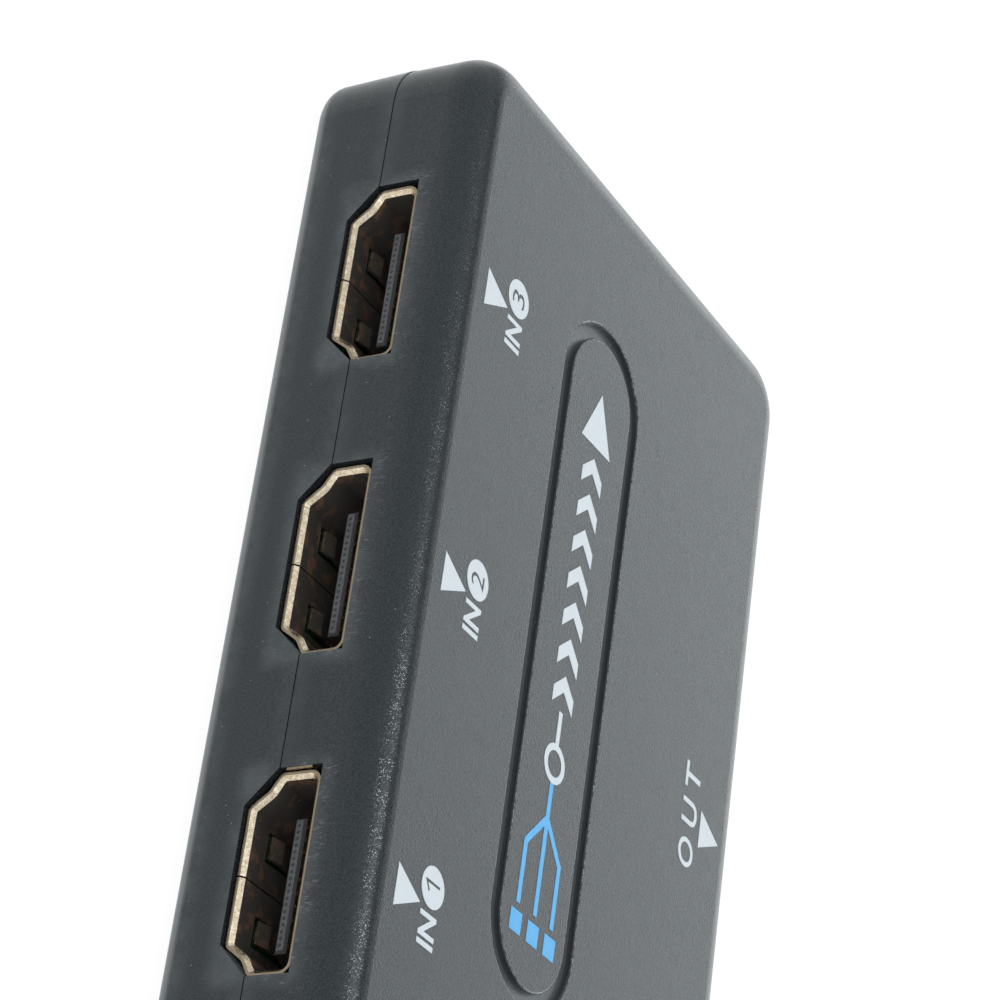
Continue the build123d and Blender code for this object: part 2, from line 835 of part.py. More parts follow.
with BuildPart() as status_lamp_leads:
    for x in lamp_places:
        for side in (-1, 1):
            with BuildSketch(
                depth_plane(x + side * lamp_wire_spacing / 2, -1, lamp_back, control_z)
            ):
                with BuildLine():
                    Polyline(
                        (0, lamp_wire / 2),
                        (lamp_wire_reach + lamp_wire / 2, lamp_wire / 2),
                        (lamp_wire_reach + lamp_wire / 2, wire_low),
                        (lamp_wire_reach - lamp_wire / 2, wire_low),
                        (lamp_wire_reach - lamp_wire / 2, -lamp_wire / 2),
                        (0, -lamp_wire / 2),
                        close=True,
                    )
                make_face()
            extrude(amount=lamp_wire / 2, both=True)
status_lamp_leads.part.label = "status_lamp_leads"
export_step(status_lamp_leads.part, "parts/status_lamp_leads.step")

# Remote control window: a tinted plug in the wall with a flange behind it
window_top = control_z + window_height / 2 + window_flange
window_front = outer_face(control_z) - window_recess
window_seat = inner_face(window_top) - window_gap
window_back = window_seat - window_flange_thickness
with BuildPart() as ir_window:
    front_plane = face_plane(window_x, -1, window_front, control_z)
    extrude(on_plane(front_plane, window_outline(0)), amount=window_back - window_front)
    flange_plane = face_plane(window_x, -1, window_seat, control_z)
    extrude(on_plane(flange_plane, window_outline(window_flange)), amount=-window_flange_thickness)
ir_window.part.label = "ir_window"
export_step(ir_window.part, "parts/ir_window.step")

# Receiver behind the window: a moulded body with a lens, on three wires
receiver_front = window_back - receiver_lens_gap - receiver_lens_radius
with BuildPart() as ir_receiver:
    with BuildSketch(face_plane(window_x, -1, receiver_front, board_top + receiver_lift)):
        Rectangle(receiver_width, receiver_height, align=(Align.CENTER, Align.MIN))
    extrude(amount=-receiver_depth)
    with Locations((window_x, -receiver_front, control_z)):
        Sphere(receiver_lens_radius)
ir_receiver.part.label = "ir_receiver"
export_step(ir_receiver.part, "parts/ir_receiver.step")

receiver_wire_length = receiver_lift + board_thickness + pin_stub
receiver_wire_y = receiver_depth / 2 - receiver_front
receiver_wire_places = [window_x + side * receiver_wire_spacing for side in (-1, 0, 1)]
with BuildPart() as ir_receiver_leads:
    with BuildSketch(Plane.XY.offset(board_top + receiver_lift)):
        for x in receiver_wire_places:
            with Locations((x, receiver_wire_y)):
                Rectangle(receiver_wire, receiver_wire)
    extrude(amount=-receiver_wire_length)
ir_receiver_leads.part.label = "ir_receiver_leads"
export_step(ir_receiver_leads.part, "parts/ir_receiver_leads.step")

# Chips: moulded bodies on bent leads
chip_seat = board_top + chip_lift


def bent_lead(width, chip_height):
    """One lead, out of the body at mid height along +X and down to a flat foot."""
    middle = chip_lift + chip_height / 2
    knee = (lead_run - lead_foot) / 2
    with BuildPart() as lead:
        with BuildSketch(Plane.XZ):
            with BuildLine():
                Polyline(
                    (0, middle + lead_thickness / 2),
                    (knee, middle + lead_thickness / 2),
                    (lead_run - lead_foot + lead_thickness, lead_thickness),
                    (lead_run, lead_thickness),
                    (lead_run, 0),
                    (lead_run - lead_foot, 0),
                    (knee - lead_thickness, middle - lead_thickness / 2),
                    (0, middle - lead_thickness / 2),
                    close=True,
                )
            make_face()
        extrude(amount=width / 2, both=True)
    return lead.part


def chip_body(centre, length, width, height):
    """A chip's moulded body, into the part that is being built."""
    with BuildSketch(Plane.XY.offset(chip_seat)) as outline:
        with Locations(centre):
            Rectangle(length, width)
    extrude(outline.sketch, amount=height)


switch_chip_place = board_spot(switch_chip_share)
control_chip_place = board_spot(control_chip_share)
regulator_place = board_spot(regulator_share)
contact_end = mouth_y - shell_length - contact_tail_gap - contact_thickness - contact_foot
memory_y = contact_end - memory_chip_gap - small_chip_length / 2
memory_places = [(x, memory_y) for x, facing in sockets.values() if facing > 0]
along_x = 0
along_y = 90

with BuildPart() as switch_chip:
    chip_body(switch_chip_place, switch_chip_size, switch_chip_size, switch_chip_height)
switch_chip.part.label = "switch_chip"
export_step(switch_chip.part, "parts/switch_chip.step")

switch_lead = bent_lead(switch_lead_width, switch_chip_height)
with BuildPart() as switch_chip_leads:
    with Locations((*switch_chip_place, board_top)):
        with PolarLocations(switch_chip_size / 2, 4):
            with GridLocations(0, switch_lead_pitch, 1, switch_leads_per_side):
                add(switch_lead)
switch_chip_leads.part.label = "switch_chip_leads"
export_step(switch_chip_leads.part, "parts/switch_chip_leads.step")

with BuildPart() as control_chip:
    chip_body(control_chip_place, control_chip_length, control_chip_width, control_chip_height)
control_chip.part.label = "control_chip"
export_step(control_chip.part, "parts/control_chip.step")

control_lead = bent_lead(wide_lead_width, control_chip_height)
with BuildPart() as control_chip_leads:
    with Locations((*control_chip_place, board_top)):
        with PolarLocations(control_chip_width / 2, 2, start_angle=along_y):
            with GridLocations(0, wide_lead_pitch, 1, control_leads_per_side):
                add(control_lead)
control_chip_leads.part.label = "control_chip_leads"
export_step(control_chip_leads.part, "parts/control_chip_leads.step")

with BuildPart() as memory_chips:
    for place in memory_places:
        chip_body(place, small_chip_width, small_chip_length, small_chip_height)
memory_chips.part.label = "memory_chips"
export_step(memory_chips.part, "parts/memory_chips.step")

memory_lead = bent_lead(wide_lead_width, small_chip_height)
with BuildPart() as memory_chip_leads:
    for place in memory_places:
        with Locations((*place, board_top)):
            with PolarLocations(small_chip_width / 2, 2, start_angle=along_x):
                with GridLocations(0, wide_lead_pitch, 1, memory_leads_per_side):
                    add(memory_lead)
memory_chip_leads.part.label = "memory_chip_leads"
export_step(memory_chip_leads.part, "parts/memory_chip_leads.step")

with BuildPart() as voltage_regulator:
    chip_body(regulator_place, regulator_length, regulator_width, regulator_height)
voltage_regulator.part.label = "voltage_regulator"
export_step(voltage_regulator.part, "parts/voltage_regulator.step")

regulator_lead = bent_lead(regulator_lead_width, regulator_height)
regulator_tab = bent_lead(regulator_tab_width, regulator_height)
with BuildPart() as voltage_regulator_leads:
    with Locations((*regulator_place, board_top)):
        with PolarLocations(regulator_width / 2, 1, start_angle=-along_y):
            with GridLocations(0, regulator_lead_pitch, 1, regulator_leads):
                add(regulator_lead)
        with PolarLocations(regulator_width / 2, 1, start_angle=along_y):
            add(regulator_tab)
voltage_regulator_leads.part.label = "voltage_regulator_leads"
export_step(voltage_regulator_leads.part, "parts/voltage_regulator_leads.step")

# Storage capacitors: metal cans on plastic bases
can_places = [board_spot(share) for share in can_shares]
with BuildPart() as capacitor_bases:
    with BuildSketch(Plane.XY.offset(board_top)):
        with Locations(*can_places):
            RectangleRounded(can_base_size, can_base_size, can_corner)
    extrude(amount=can_base_height)
capacitor_bases.part.label = "capacitor_bases"
export_step(capacitor_bases.part, "parts/capacitor_bases.step")

with BuildPart() as capacitor_cans:
    with BuildSketch(Plane.XY.offset(board_top + can_base_height)):
        with Locations(*can_places):
            Circle(can_radius)
    extrude(amount=can_height)
    fillet(capacitor_cans.edges().group_by(Axis.Z)[-1], can_edge)
capacitor_cans.part.label = "capacitor_cans"
export_step(capacitor_cans.part, "parts/capacitor_cans.step")

# Crystal: a drawn metal can with a rolled rim
with BuildPart() as crystal:
    with BuildSketch(Plane.XY.offset(board_top)):
        with Locations(board_spot(crystal_share)):
            SlotOverall(crystal_length, crystal_width)
    extrude(amount=crystal_rim_height)
    with BuildSketch(Plane.XY.offset(board_top)):
        with Locations(board_spot(crystal_share)):
            SlotOverall(crystal_length - 2 * crystal_rim, crystal_width - 2 * crystal_rim)
    extrude(amount=crystal_height)
    fillet(crystal.edges().group_by(Axis.Z)[-1], crystal_edge)
crystal.part.label = "crystal"
export_step(crystal.part, "parts/crystal.step")

with BuildPart() as power_inductor:
    with BuildSketch(Plane.XY.offset(board_top)):
        with Locations(board_spot(inductor_share)):
            RectangleRounded(inductor_size, inductor_size, inductor_corner)
    extrude(amount=inductor_height)
    fillet(power_inductor.edges().group_by(Axis.Z)[-1], inductor_edge)
power_inductor.part.label = "power_inductor"
export_step(power_inductor.part, "parts/power_inductor.step")

# Rows of small board parts
resistor_rows = [(x + resistor_row_shift, y - resistor_drop) for x, y in memory_places]
capacitor_rows = [board_spot(share) for share in capacitor_row_shares]
for name, rows, height in (
    ("resistors", resistor_rows, resistor_height),
    ("ceramic_capacitors", capacitor_rows, capacitor_height),
):
    with BuildPart() as chip_parts:
        with BuildSketch(Plane.XY.offset(board_top)):
            with Locations(*rows):
                with GridLocations(chip_part_pitch, 0, chip_parts_per_row, 1):
                    Rectangle(chip_part_width, chip_part_length)
        extrude(amount=height)
    chip_parts.part.label = name
    export_step(chip_parts.part, f"parts/{name}.step")

# Circuit board: drilled for the screws and for every leg and wire that passes through it
with BuildPart() as circuit_board:
    with BuildSketch(Plane.XY.offset(board_bottom)):
        RectangleRounded(board_length, board_width, board_corner)
        with screw_places:
            Circle(screw_radius + screw_clearance, mode=Mode.SUBTRACT)
        for x, facing in sockets.values():
            for depth in shell_leg_depths:
                leg_y = facing * (mouth_y - depth - shell_leg_width / 2)
                with Locations((x, leg_y)):
                    with GridLocations(2 * leg_side + plate, 0, 2, 1):
                        Rectangle(
                            plate + 2 * pin_clearance,
                            shell_leg_width + 2 * pin_clearance,
                            mode=Mode.SUBTRACT,
                        )
        for depth, width in (
            (jack_length + jack_leg_thickness / 2, jack_leg_width),
            (leaf_depth + jack_leg_thickness / 2, jack_leaf_width),
        ):
            with Locations((jack_x, depth + jack_recess - case_width / 2)):
                Rectangle(
                    width + 2 * pin_clearance,
                    jack_leg_thickness + 2 * pin_clearance,
                    mode=Mode.SUBTRACT,
                )
        with Locations((button_x, switch_plate / 2 - switch_front)):
            with GridLocations(switch_leg_spacing, 0, 2, 1):
                Rectangle(
                    switch_leg_width + 2 * pin_clearance,
                    switch_plate + 2 * pin_clearance,
                    mode=Mode.SUBTRACT,
                )
        for x in lamp_places:
            with Locations((x, lamp_wire_reach - lamp_back)):
                with GridLocations(lamp_wire_spacing, 0, 2, 1):
                    Circle(lamp_wire / 2**0.5 + pin_clearance, mode=Mode.SUBTRACT)
        for x in receiver_wire_places:
            with Locations((x, receiver_wire_y)):
                Circle(receiver_wire / 2**0.5 + pin_clearance, mode=Mode.SUBTRACT)
    extrude(amount=board_thickness)
circuit_board.part.label = "circuit_board"
export_step(circuit_board.part, "parts/circuit_board.step")
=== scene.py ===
import json
import math

import bmesh
import bpy
from mathutils import Matrix, Vector


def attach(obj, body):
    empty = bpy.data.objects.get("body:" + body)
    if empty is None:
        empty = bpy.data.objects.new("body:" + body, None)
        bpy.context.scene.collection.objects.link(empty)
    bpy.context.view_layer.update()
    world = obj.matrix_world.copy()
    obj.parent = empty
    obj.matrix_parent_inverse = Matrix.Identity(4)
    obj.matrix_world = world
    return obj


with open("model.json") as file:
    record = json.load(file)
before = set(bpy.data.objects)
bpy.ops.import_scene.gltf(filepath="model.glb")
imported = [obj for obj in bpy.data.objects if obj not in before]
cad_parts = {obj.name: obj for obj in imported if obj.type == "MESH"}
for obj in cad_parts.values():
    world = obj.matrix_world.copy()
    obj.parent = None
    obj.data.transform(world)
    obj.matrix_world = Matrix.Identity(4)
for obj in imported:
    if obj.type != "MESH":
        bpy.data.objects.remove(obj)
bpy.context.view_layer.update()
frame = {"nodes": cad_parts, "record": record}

MM = 0.001
HOUSING = "housing"

# Places on the case, in millimetres: x along the inputs, y towards them, z out of the labelled face
CASE_TOP = 16.3
SEAM_Z = 8.3
MOUTH_Y = 27.15
SOCKET_PITCH = 24.6
SOCKET_MIDDLE_Z = 8.87
SOCKET_HALF_WIDTH = 7.65
SOCKET_HALF_HEIGHT = 2.83
PANEL_MIDDLE = (3.2, 3.85)
PANEL_REACH = 7.0
PANEL_HALF_LENGTH = 30.0
TONGUE_FRONT_Y = 25.05

# Each socket's name, its middle in x and the side it faces along y
SOCKETS = (
    ("in_1", -SOCKET_PITCH, 1),
    ("in_2", 0.0, 1),
    ("in_3", SOCKET_PITCH, 1),
    ("output", 0.0, -1),
)


class Look:
    """A procedural material, built up from sockets in the object's own coordinates."""

    def __init__(self, name, **constants):
        self.material = bpy.data.materials.new(name)
        self.material.use_nodes = True
        self.tree = self.material.node_tree
        self.shader = self.tree.nodes["Principled BSDF"]
        for socket, value in constants.items():
            self.shader.inputs[socket.replace("_", " ")].default_value = value
        coordinates = self.node("ShaderNodeTexCoord")
        self.place = coordinates.outputs["Object"]
        self.normal = coordinates.outputs["Normal"]

    def node(self, kind, inputs=(), **settings):
        made = self.tree.nodes.new(kind)
        for key, value in settings.items():
            setattr(made, key, value)
        for key, value in dict(inputs).items():
            self.put(made.inputs[key], value)
        return made

    def put(self, socket, value):
        if isinstance(value, bpy.types.NodeSocket):
            self.tree.links.new(value, socket)
        else:
            socket.default_value = value

    def set(self, name, value):
        self.put(self.shader.inputs[name], value)

    def math(self, operation, *values):
        return self.node("ShaderNodeMath", enumerate(values), operation=operation).outputs[0]

    def product(self, *values):
        total = values[0]
        for value in values[1:]:
            total = self.math("MULTIPLY", total, value)
        return total

    def smooth(self, value, low, high, start=0.0, end=1.0):
        inputs = {"Value": value, "From Min": low, "From Max": high, "To Min": start, "To Max": end}
        made = self.node("ShaderNodeMapRange", inputs, interpolation_type="SMOOTHSTEP")
        return made.outputs["Result"]

    def axes(self, vector):
        return self.node("ShaderNodeSeparateXYZ", {0: vector}).outputs

    def stretched(self, stretch):
        inputs = {"Vector": self.place, "Scale": stretch}
        return self.node("ShaderNodeMapping", inputs, vector_type="POINT").outputs[0]

    def noise(self, size, detail=2.0, rough=0.5, stretch=None):
        """Noise whose features are about size millimetres across."""
        vector = self.stretched(stretch) if stretch else self.place
        inputs = {"Vector": vector, "Scale": 1 / (size * MM), "Detail": detail, "Roughness": rough}
        return self.node("ShaderNodeTexNoise", inputs).outputs[0]

    def specks(self, spacing, radius, share):
        """Rare round specks: 1 on a speck, 0 elsewhere."""
        inputs = {"Vector": self.place, "Scale": 1 / (spacing * MM)}
        cells = self.node("ShaderNodeTexVoronoi", inputs)
        dot = self.smooth(cells.outputs["Distance"], 0.6 * radius / spacing, radius / spacing, 1, 0)
        lot = self.axes(cells.outputs["Color"])[0]
        return self.product(dot, self.math("LESS_THAN", lot, share))

    def cells(self, spacing):
        """For round grains of that spacing, a random number for each, and a mask that is 1 on it."""
        inputs = {"Vector": self.place, "Scale": 1 / (spacing * MM)}
        grains = self.node("ShaderNodeTexVoronoi", inputs)
        mask = self.smooth(grains.outputs["Distance"], 0.22, 0.42, 1, 0)
        return self.axes(grains.outputs["Color"])[1], mask

    def blend(self, factor, under, over):
        made = self.node("ShaderNodeMix", data_type="RGBA")
        self.put(made.inputs["Factor"], factor)
        for socket, value in ((made.inputs[6], under), (made.inputs[7], over)):
            if isinstance(value, tuple) and len(value) == 3:
                value = (*value, 1)
            self.put(socket, value)
        return made.outputs[2]

    def bump(self, height, depth):
        """Bump of the given depth in millimetres."""
        inputs = {"Height": height, "Distance": depth * MM, "Strength": 1.0}
        return self.node("ShaderNodeBump", inputs).outputs["Normal"]


def simple_look(name, color, rough, grain, depth, spread=0.08, **constants):
    """A finish with grain in its bump, and colour and roughness that vary over it."""
    look = Look(name, **constants)
    fine = look.noise(grain)
    wide = look.noise(grain * 12, 3.0)
    tint = 0.15
    dark = tuple(channel * (1 - tint) for channel in color)
    pale = tuple(min(channel * (1 + tint), 1.0) for channel in color)
    look.set("Base Color", look.blend(look.smooth(wide, 0.3, 0.7), dark, pale))
    look.set("Roughness", look.smooth(look.noise(grain * 5), 0.3, 0.7, rough - spread, rough + spread))
    look.set("Normal", look.bump(fine, depth))
    return look.material


def case_look():
    """Black moulding: fine grain, painted glints on the rounded edges, haze and scuffs by the sockets,
    painted light on the lower edge and in the panel's groove.
    """
    look = Look(
        "case_plastic",
        IOR=1.45,
        Specular_Tint=(0.83, 0.95, 1.0, 1.0),
        Sheen_Weight=0.3,
        Sheen_Roughness=0.3,
        Sheen_Tint=(0.88, 0.96, 1.0, 1.0),
    )
    x, y, z = look.axes(look.place)
    facing = look.axes(look.normal)
    up = facing[2]

    # Where the surface faces: the rounding of the top edge, the top, the long sides, the lower edge
    crest = look.product(look.smooth(up, 0.74, 0.87), look.smooth(up, 0.93, 0.975, 1, 0))
    top = look.smooth(up, 0.97, 0.995)
    side = look.smooth(look.math("ABSOLUTE", facing[1]), 0.6, 0.9)
    under = look.product(look.smooth(up, -0.3, -0.05, 1, 0), look.smooth(up, -0.97, -0.85))

    # The groove round the panel: its depth is lightened with painted light, and its edges carry painted
    # highlights
    below_groove_z = (CASE_TOP - 0.7) * MM
    groove_low_z, groove_high_z = (CASE_TOP - 0.4) * MM, (CASE_TOP - 0.1) * MM
    from_panel = look.math("ABSOLUTE", look.math("SUBTRACT", y, PANEL_MIDDLE[1] * MM))
    beside_panel = look.math("ABSOLUTE", look.math("SUBTRACT", x, PANEL_MIDDLE[0] * MM))
    by_panel = look.math("LESS_THAN", from_panel, PANEL_REACH * MM)
    by_panel = look.product(by_panel, look.math("LESS_THAN", beside_panel, PANEL_HALF_LENGTH * MM))
    sunk = look.smooth(z, groove_low_z, groove_high_z, 1, 0)
    sunk = look.product(sunk, by_panel, look.math("GREATER_THAN", z, below_groove_z))
    edge = look.product(look.smooth(up, 0.84, 0.92), look.smooth(up, 0.98, 0.992, 1, 0))
    edge = look.product(edge, by_panel, look.smooth(look.noise(0.3), 0.35, 0.6))

    # Distance from the nearest socket: three are in the input side, one in the output side
    front = look.math("GREATER_THAN", y, 0.0)
    pitch = SOCKET_PITCH * MM
    index = look.math("ROUND", look.math("DIVIDE", x, pitch))
    index = look.math("MINIMUM", look.math("MAXIMUM", index, -1.0), 1.0)
    index = look.product(index, front)
    along = look.math("ABSOLUTE", look.math("SUBTRACT", x, look.product(index, pitch)))
    above = look.math("SUBTRACT", z, SOCKET_MIDDLE_Z * MM)
    across = look.math("ABSOLUTE", above)
    along = look.math("MAXIMUM", look.math("SUBTRACT", along, SOCKET_HALF_WIDTH * MM), 0.0)
    across = look.math("MAXIMUM", look.math("SUBTRACT", across, SOCKET_HALF_HEIGHT * MM), 0.0)
    gap = look.math("SQRT", look.math("ADD", look.product(along, along), look.product(across, across)))

    # Haze: rubbed in round the sockets and along the seam; the face is also paler towards the lower
    # edge
    cloudy = look.smooth(look.noise(2.2, 4.0, 0.6), 0.3, 0.72, 0.35, 1.1)
    round_sockets = look.smooth(gap, 0.0, 1.6 * MM, 1.5, 0)
    from_seam = look.math("ABSOLUTE", look.math("SUBTRACT", z, SEAM_Z * MM))
    by_seam = look.smooth(from_seam, 0.1 * MM, 1.7 * MM, 0.7, 0)
    low = look.smooth(z, 1.6 * MM, 3.9 * MM, 1.7, 0)
    haze = look.math("MAXIMUM", look.math("MAXIMUM", round_sockets, by_seam), low)
    haze = look.product(haze, cloudy, side)

    # Scuffs beside the sockets, mostly on the labelled side of their middle, with dust and lint
    streaks = look.smooth(look.noise(0.07, 1.5, 0.5, (1.0, 1.0, 0.12)), 0.55, 0.68)
    patches = look.smooth(look.noise(1.3, 2.0), 0.42, 0.6)
    reach = look.smooth(gap, 0.1 * MM, 2.2 * MM, 1, 0)
    rubbed = look.smooth(above, 0.5 * MM, 2.5 * MM, 0.3, 1)
    scuffs = look.product(streaks, patches, reach, rubbed, side)
    dust = look.product(look.specks(0.8, 0.05, 0.3), look.smooth(up, 0.8, 0.95, 1, 0.12))
    lint = look.product(look.specks(0.35, 0.035, 0.3), look.math("MINIMUM", haze, 1.0))

    # Glints: painted highlights, pale grains in the colour of the edge rounding; they thin out towards
    # the end beside input 3
    glints = look.cells(0.11)
    bright = look.smooth(glints[0], 0.3, 1.0)
    spread = look.smooth(look.noise(1.4, 3.0), 0.35, 0.65, 0.15, 1)
    spread = look.product(spread, look.smooth(x, -36 * MM, 44 * MM, 1, 0.15))
    glint = look.product(glints[1], bright, crest, spread)

    grain_dark = (0.008, 0.009, 0.0095)
    grain_pale = (0.028, 0.0315, 0.0335)
    hazy = (0.08, 0.087, 0.092)
    scuffed = (0.26, 0.27, 0.28)
    painted_rim_light = (0.3, 0.32, 0.33)
    painted_groove_light = (0.1, 0.106, 0.11)
    painted_edge_highlight = (0.4, 0.41, 0.42)
    pale_dust = (0.5, 0.5, 0.5)
    painted_glint_color = (0.86, 0.9, 0.92)
    fine = look.smooth(look.noise(0.12, 1.5, 0.6), 0.34, 0.68)
    color = look.blend(fine, grain_dark, grain_pale)
    color = look.blend(look.product(haze, 0.45), color, hazy)
    color = look.blend(look.product(scuffs, 0.5), color, scuffed)
    # Painted highlight: the rounding of the lower edge is paler, as if it caught light at a grazing
    # angle
    color = look.blend(look.product(under, 0.5), color, painted_rim_light)
    # Painted light: the depth of the groove is paler, as if lit
    color = look.blend(look.product(sunk, 0.6), color, painted_groove_light)
    # Painted highlights: pale broken lines along the groove's edges
    color = look.blend(look.product(edge, 0.5), color, painted_edge_highlight)
    color = look.blend(look.product(dust, 0.6), color, pale_dust)
    color = look.blend(look.product(lint, 0.4), color, pale_dust)
    # Painted highlights: the glints are pale grains in the colour
    color = look.blend(glint, color, painted_glint_color)
    look.set("Base Color", color)

    rough = look.smooth(look.noise(2.0, 3.0), 0.3, 0.7, 0.25, 0.275)
    look.set("Roughness", look.math("ADD", rough, look.product(side, 0.09)))

    grain = look.noise(0.13, 2.0, 0.6)
    weight = look.math("ADD", look.product(crest, 0.35), 0.5)
    weight = look.math("ADD", weight, look.product(top, 0.6))
    look.set("Normal", look.bump(look.product(grain, weight), 0.03))
    return look.material


def gold_look():
    """Pale gold plating on pressed sheet: a bright flare, a front face dulled with painted shade, and a
    depth darkened with painted shade and painted reddish-brown reflections.
    """
    look = Look("gold_plating")
    y = look.axes(look.place)[1]
    depth = look.math("SUBTRACT", MOUTH_Y * MM, look.math("ABSOLUTE", y))
    facing = look.math("ABSOLUTE", look.axes(look.normal)[1])
    inside = look.product(look.smooth(facing, 0.15, 0.35, 1, 0), look.smooth(depth, 0.1 * MM, 0.3 * MM))
    # The rim's front face at the mouth, which gets painted shade so that it reflects dimly
    cut = look.product(look.smooth(facing, 0.9, 0.985), look.smooth(depth, 0.02 * MM, 0.06 * MM, 1, 0))
    dull_gold = (0.66, 0.55, 0.4)
    bright_gold = (0.9, 0.8, 0.63)
    pitted = (0.22, 0.15, 0.09)
    painted_front_shade = (0.2, 0.16, 0.11)
    depth_shade = (0.062, 0.055, 0.052)
    painted_reflection = (0.17, 0.095, 0.065)
    pale_lint = (0.8, 0.75, 0.66)
    worn = look.smooth(look.noise(0.3, 3.0), 0.42, 0.7)
    pits = look.smooth(look.noise(0.09, 2.0), 0.34, 0.44, 1, 0)
    color = look.blend(worn, dull_gold, bright_gold)
    color = look.blend(look.product(pits, 0.75), color, pitted)
    # Painted shade on the rim's front face
    color = look.blend(look.product(cut, 0.9), color, painted_front_shade)
    # Painted reflections: reddish-brown patches on the walls inside the socket
    reflection_patches = look.smooth(look.noise(1.3, 2.0), 0.5, 0.66)
    deep = look.smooth(depth, 0.4 * MM, 3.5 * MM, 1.0, 0.75)
    dim = look.blend(look.product(reflection_patches, deep), depth_shade, painted_reflection)
    # Painted shade: the walls inside the socket take a dark colour
    color = look.blend(look.product(inside, 0.97), color, dim)
    lint = look.specks(0.75, 0.045, 0.16)
    look.set("Base Color", look.blend(look.product(lint, inside, 0.8), color, pale_lint))
    look.set("Metallic", look.math("SUBTRACT", 1.0, look.product(inside, 0.8)))
    rough = look.smooth(look.noise(0.4, 3.0), 0.3, 0.7, 0.22, 0.34)
    look.set("Roughness", look.math("SUBTRACT", rough, look.product(inside, 0.1)))
    drawn = look.noise(0.07, 2.0, 0.5, (1.0, 0.12, 1.0))
    look.set("Normal", look.bump(look.math("ADD", drawn, look.noise(0.16)), 0.007))
    return look.material


def insulator_look():
    """Black moulding with pale flecks. Only the tongue's front is pale; the rest, and the front's
    tilted and downward faces, are darkened with painted shade.
    """
    look = Look("socket_moulding", IOR=1.5)
    flecks = look.smooth(look.noise(0.1, 2.0), 0.56, 0.66)
    y = look.axes(look.place)[1]
    depth = look.math("SUBTRACT", MOUTH_Y * MM, look.math("ABSOLUTE", y))
    # Painted shade: all but the tongue's front, and faces that tilt away or face down, take a dark
    # colour
    front = look.smooth(depth, 2.15 * MM, 2.4 * MM, 1, 0)
    tilt = look.axes(look.normal)[2]
    front = look.product(front, look.smooth(look.math("ABSOLUTE", tilt), 0.3, 0.55, 1, 0.35))
    front = look.product(front, look.smooth(tilt, -0.5, -0.2))
    front_dark = (0.065, 0.071, 0.077)
    front_pale = (0.1, 0.108, 0.116)
    fleck = (0.26, 0.27, 0.28)
    painted_depth_shade = (0.05, 0.042, 0.038)
    color = look.blend(look.noise(0.8, 3.0), front_dark, front_pale)
    color = look.blend(look.product(flecks, 0.4), color, fleck)
    # Painted shade away from the tongue's front
    look.set("Base Color", look.blend(front, painted_depth_shade, color))
    look.set("Roughness", look.smooth(look.noise(0.2), 0.3, 0.7, 0.42, 0.6))
    look.set("Normal", look.bump(look.noise(0.14, 2.0), 0.04))
    return look.material


def board_look():
    """Green solder mask with the glass weave and buried tracks just showing."""
    look = Look("solder_mask", Coat_Weight=0.4, Coat_Roughness=0.15)
    weave = look.math(
        "ADD",
        look.noise(0.5, 1.0, 0.5, (1.0, 0.12, 1.0)),
        look.noise(0.5, 1.0, 0.5, (0.12, 1.0, 1.0)),
    )
    tracks = look.smooth(look.noise(2.5, 0.0, 0.5, (1.0, 0.2, 1.0)), 0.5, 0.53)
    color = look.blend(look.smooth(weave, 0.8, 1.2), (0.01, 0.1, 0.045), (0.014, 0.13, 0.058))
    look.set("Base Color", look.blend(look.product(tracks, 0.5), color, (0.03, 0.2, 0.08)))
    look.set("Roughness", look.smooth(weave, 0.8, 1.2, 0.3, 0.42))
    look.set("Normal", look.bump(look.math("ADD", weave, tracks), 0.01))
    return look.material


def ink_look(name, color):
    """Printed ink: thin, a little uneven, over the grain of the case."""
    look = Look(name, IOR=1.45)
    thin = tuple(channel * 0.82 for channel in color)
    cover = look.smooth(look.noise(0.2, 2.0), 0.2, 0.42)
    look.set("Base Color", look.blend(cover, thin, color))
    look.set("Roughness", look.smooth(look.noise(0.6), 0.3, 0.7, 0.48, 0.6))
    look.set("Normal", look.bump(look.noise(0.17, 2.5, 0.55), 0.012))
    return look.material


